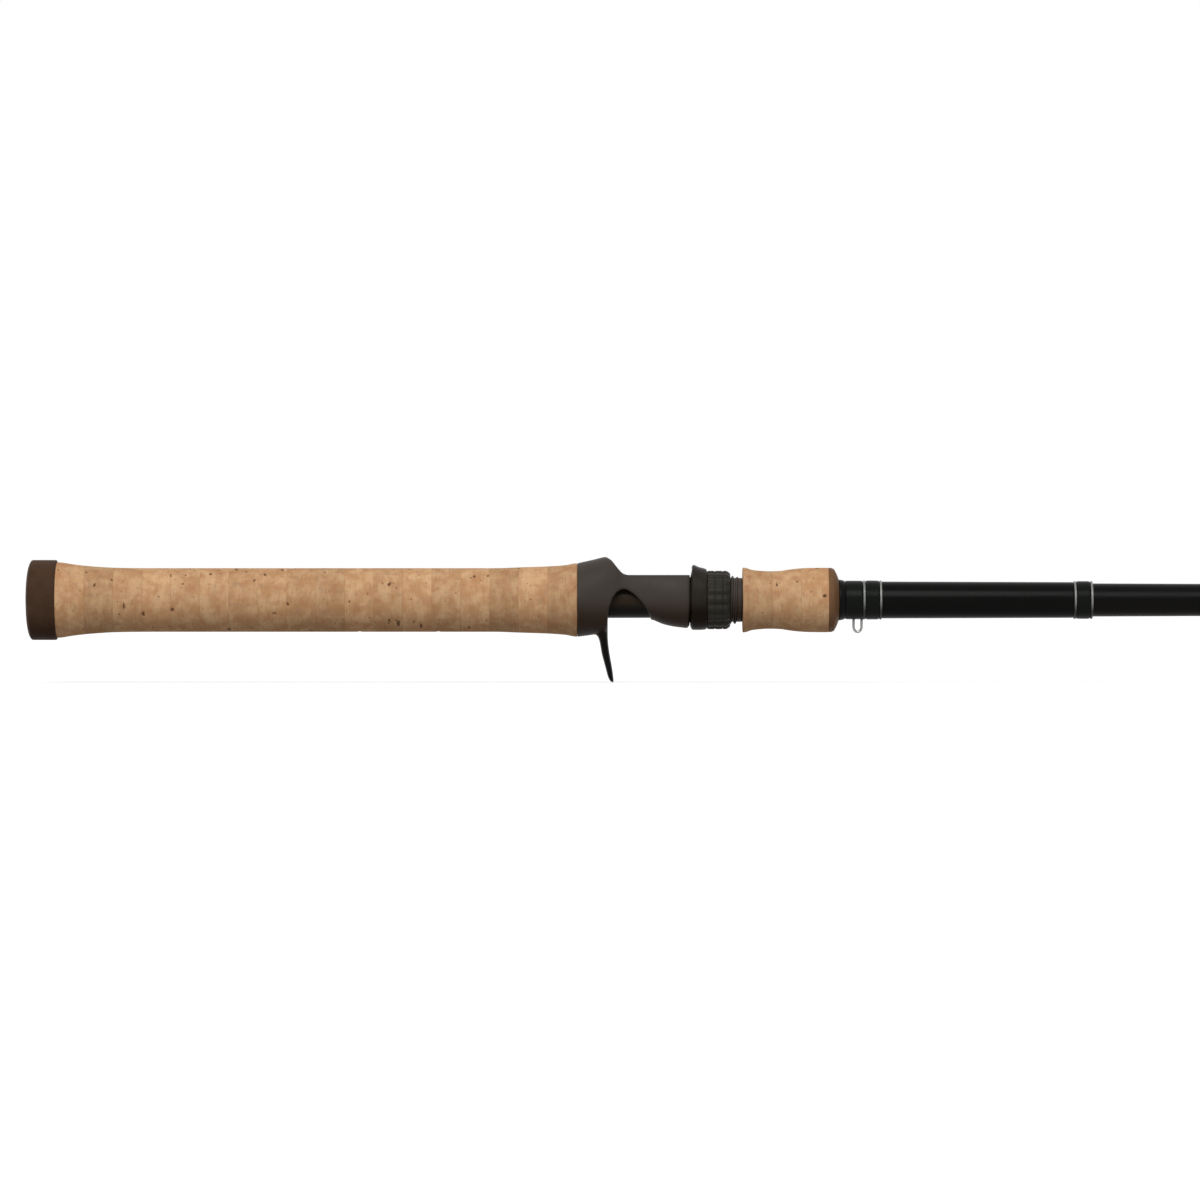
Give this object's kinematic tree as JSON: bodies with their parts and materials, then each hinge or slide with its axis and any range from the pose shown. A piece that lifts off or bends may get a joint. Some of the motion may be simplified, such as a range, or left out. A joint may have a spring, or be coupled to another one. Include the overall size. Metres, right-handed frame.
{
  "type": "casting rod",
  "caption": "One-piece casting rod with a cork handle, a trigger reel seat with a sliding hood and lock nut, line guides and a tip-top.",
  "frame": {"origin": "centre of the butt cap's flat end, on the rod's axis", "axes": "+X along the rod from the butt to the tip; +Z to the side that carries the reel and the guides; the trigger points to -Z"},
  "size_m": [1.83, 0.0352, 0.0612],
  "materials": {
    "cork": "bare natural cork, dry matt, with darker pits and streaks",
    "cap_rubber": "dark brown-black rubberised cap, dull",
    "seat_plastic": "charcoal moulded graphite-filled nylon, satin",
    "hood_plastic": "near-black moulded plastic, satin",
    "nut_plastic": "dark charcoal moulded plastic, fluted, satin",
    "blank_gloss": "gloss black lacquered rod blank",
    "end_ring": "black-brown rubber, dull",
    "winding_check": "black anodised ring",
    "wrap_thread": "black thread under clear epoxy, glossy",
    "silver_thread": "metallic silver thread under clear epoxy",
    "guide_steel": "dark bright steel",
    "guide_ceramic": "polished dark ceramic",
    "arbor_fibre": "pale wound fibre, hidden"
  },
  "bodies": {
    "rod": {"butt_cap": "cap_rubber", "rear_grip": "cork", "blank": "blank_gloss", "reel_seat_body": "seat_plastic", "rear_arbor": "arbor_fibre", "front_arbor": "arbor_fibre", "fore_grip": "cork", "grip_end_ring": "end_ring", "winding_check": "winding_check", "hook_keeper": "guide_steel", "keeper_wrap": "wrap_thread", "silver_band_1": "silver_thread", "rear_trim_wrap": "wrap_thread", "silver_band_2": "silver_thread", "label_coat": "wrap_thread", "silver_band_3": "silver_thread", "front_trim_wrap": "wrap_thread", "silver_band_4": "silver_thread", "guide_1_frame": "guide_steel", "guide_1_ring": "guide_ceramic", "guide_1_front_wrap": "wrap_thread", "guide_1_rear_wrap": "wrap_thread", "guide_2_frame": "guide_steel", "guide_2_ring": "guide_ceramic", "guide_2_front_wrap": "wrap_thread", "guide_2_rear_wrap": "wrap_thread", "guide_3_frame": "guide_steel", "guide_3_ring": "guide_ceramic", "guide_3_wrap": "wrap_thread", "guide_4_frame": "guide_steel", "guide_4_ring": "guide_ceramic", "guide_4_wrap": "wrap_thread", "guide_5_frame": "guide_steel", "guide_5_ring": "guide_ceramic", "guide_5_wrap": "wrap_thread", "guide_6_frame": "guide_steel", "guide_6_ring": "guide_ceramic", "guide_6_wrap": "wrap_thread", "guide_7_frame": "guide_steel", "guide_7_ring": "guide_ceramic", "guide_7_wrap": "wrap_thread", "tip_top_frame": "guide_steel", "tip_top_ring": "guide_ceramic", "tip_wrap": "wrap_thread"},
    "hood": {"movable_hood": "hood_plastic"},
    "nut": {"lock_nut": "nut_plastic"}
  },
  "joints": [
    {"name": "hood_slide", "type": "slide", "parent": "rod", "child": "hood", "axis": [1, 0, 0], "range_m": [0, 0.00501]},
    {"name": "nut_spin", "type": "hinge", "parent": "hood", "child": "nut", "pos_m": [0.3044, 0, 0], "axis": [1, 0, 0], "range_deg": [0, 900]}
  ],
  "couplings": [
    {"joint": "hood_slide", "follows": "nut_spin", "m_per_rad": 0.00031831}
  ]
}
